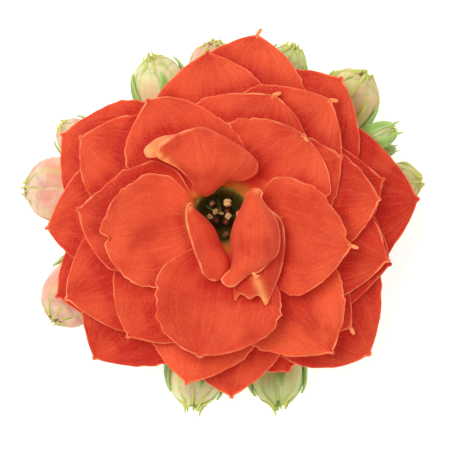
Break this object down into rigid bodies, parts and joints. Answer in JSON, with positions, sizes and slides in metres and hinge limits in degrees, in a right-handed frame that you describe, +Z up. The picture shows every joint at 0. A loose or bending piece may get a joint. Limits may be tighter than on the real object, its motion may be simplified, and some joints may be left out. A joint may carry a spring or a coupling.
{
  "type": "double kalanchoe flower head with buds",
  "caption": "Picked double kalanchoe flower head lying face up: one open orange-red bloom of layered petals over a ring of closed green and pink buds, on a short cut stalk.",
  "frame": {"origin": "under the middle of the flower head's box, on the surface that it lies on", "axes": "+Z up, the way the bloom faces; +X across the head through its left and right buds, to the right as seen from above; +Y away from the seer when +X is to the right"},
  "size_m": [0.0306, 0.0284, 0.0179],
  "materials": {
    "petal": "velvety orange-red petal with a fine grain, pale orange margin",
    "stalk": "smooth fleshy green stalk",
    "calyx": "smooth fleshy green sepal",
    "carpel": "brown-red style on a green carpel",
    "anther": "cream to orange anther, dusty",
    "bud_pink": "smooth closed petals, cream flushed pink",
    "bud_cream": "smooth closed petals, cream-green",
    "bud_green": "smooth closed petals, pale green"
  },
  "bodies": {
    "root": {"stalk": "stalk", "bloom_calyx": "calyx", "bloom_corolla": "petal", "bloom_carpels": "carpel", "bloom_stamens": "anther", "bud_left_petals": "bud_pink", "bud_left_calyx": "calyx", "bud_left_top_petals": "bud_pink", "bud_left_top_calyx": "calyx", "bud_lower_left_petals": "bud_pink", "bud_lower_left_calyx": "calyx", "bud_upper_left_petals": "bud_cream", "bud_upper_left_calyx": "calyx", "bud_top_petals": "bud_pink", "bud_top_calyx": "calyx", "bud_top_right_petals": "bud_green", "bud_top_right_calyx": "calyx", "bud_right_top_petals": "bud_pink", "bud_right_top_calyx": "calyx", "bud_right_young_petals": "bud_green", "bud_right_young_calyx": "calyx", "bud_right_tiny_petals": "bud_green", "bud_right_tiny_calyx": "calyx", "bud_right_petals": "bud_cream", "bud_right_calyx": "calyx", "bud_lower_right_petals": "bud_green", "bud_lower_right_calyx": "calyx", "bud_bottom_petals": "bud_green", "bud_bottom_calyx": "calyx", "bud_bottom_left_petals": "bud_cream", "bud_bottom_left_calyx": "calyx"}
  },
  "joints": []
}
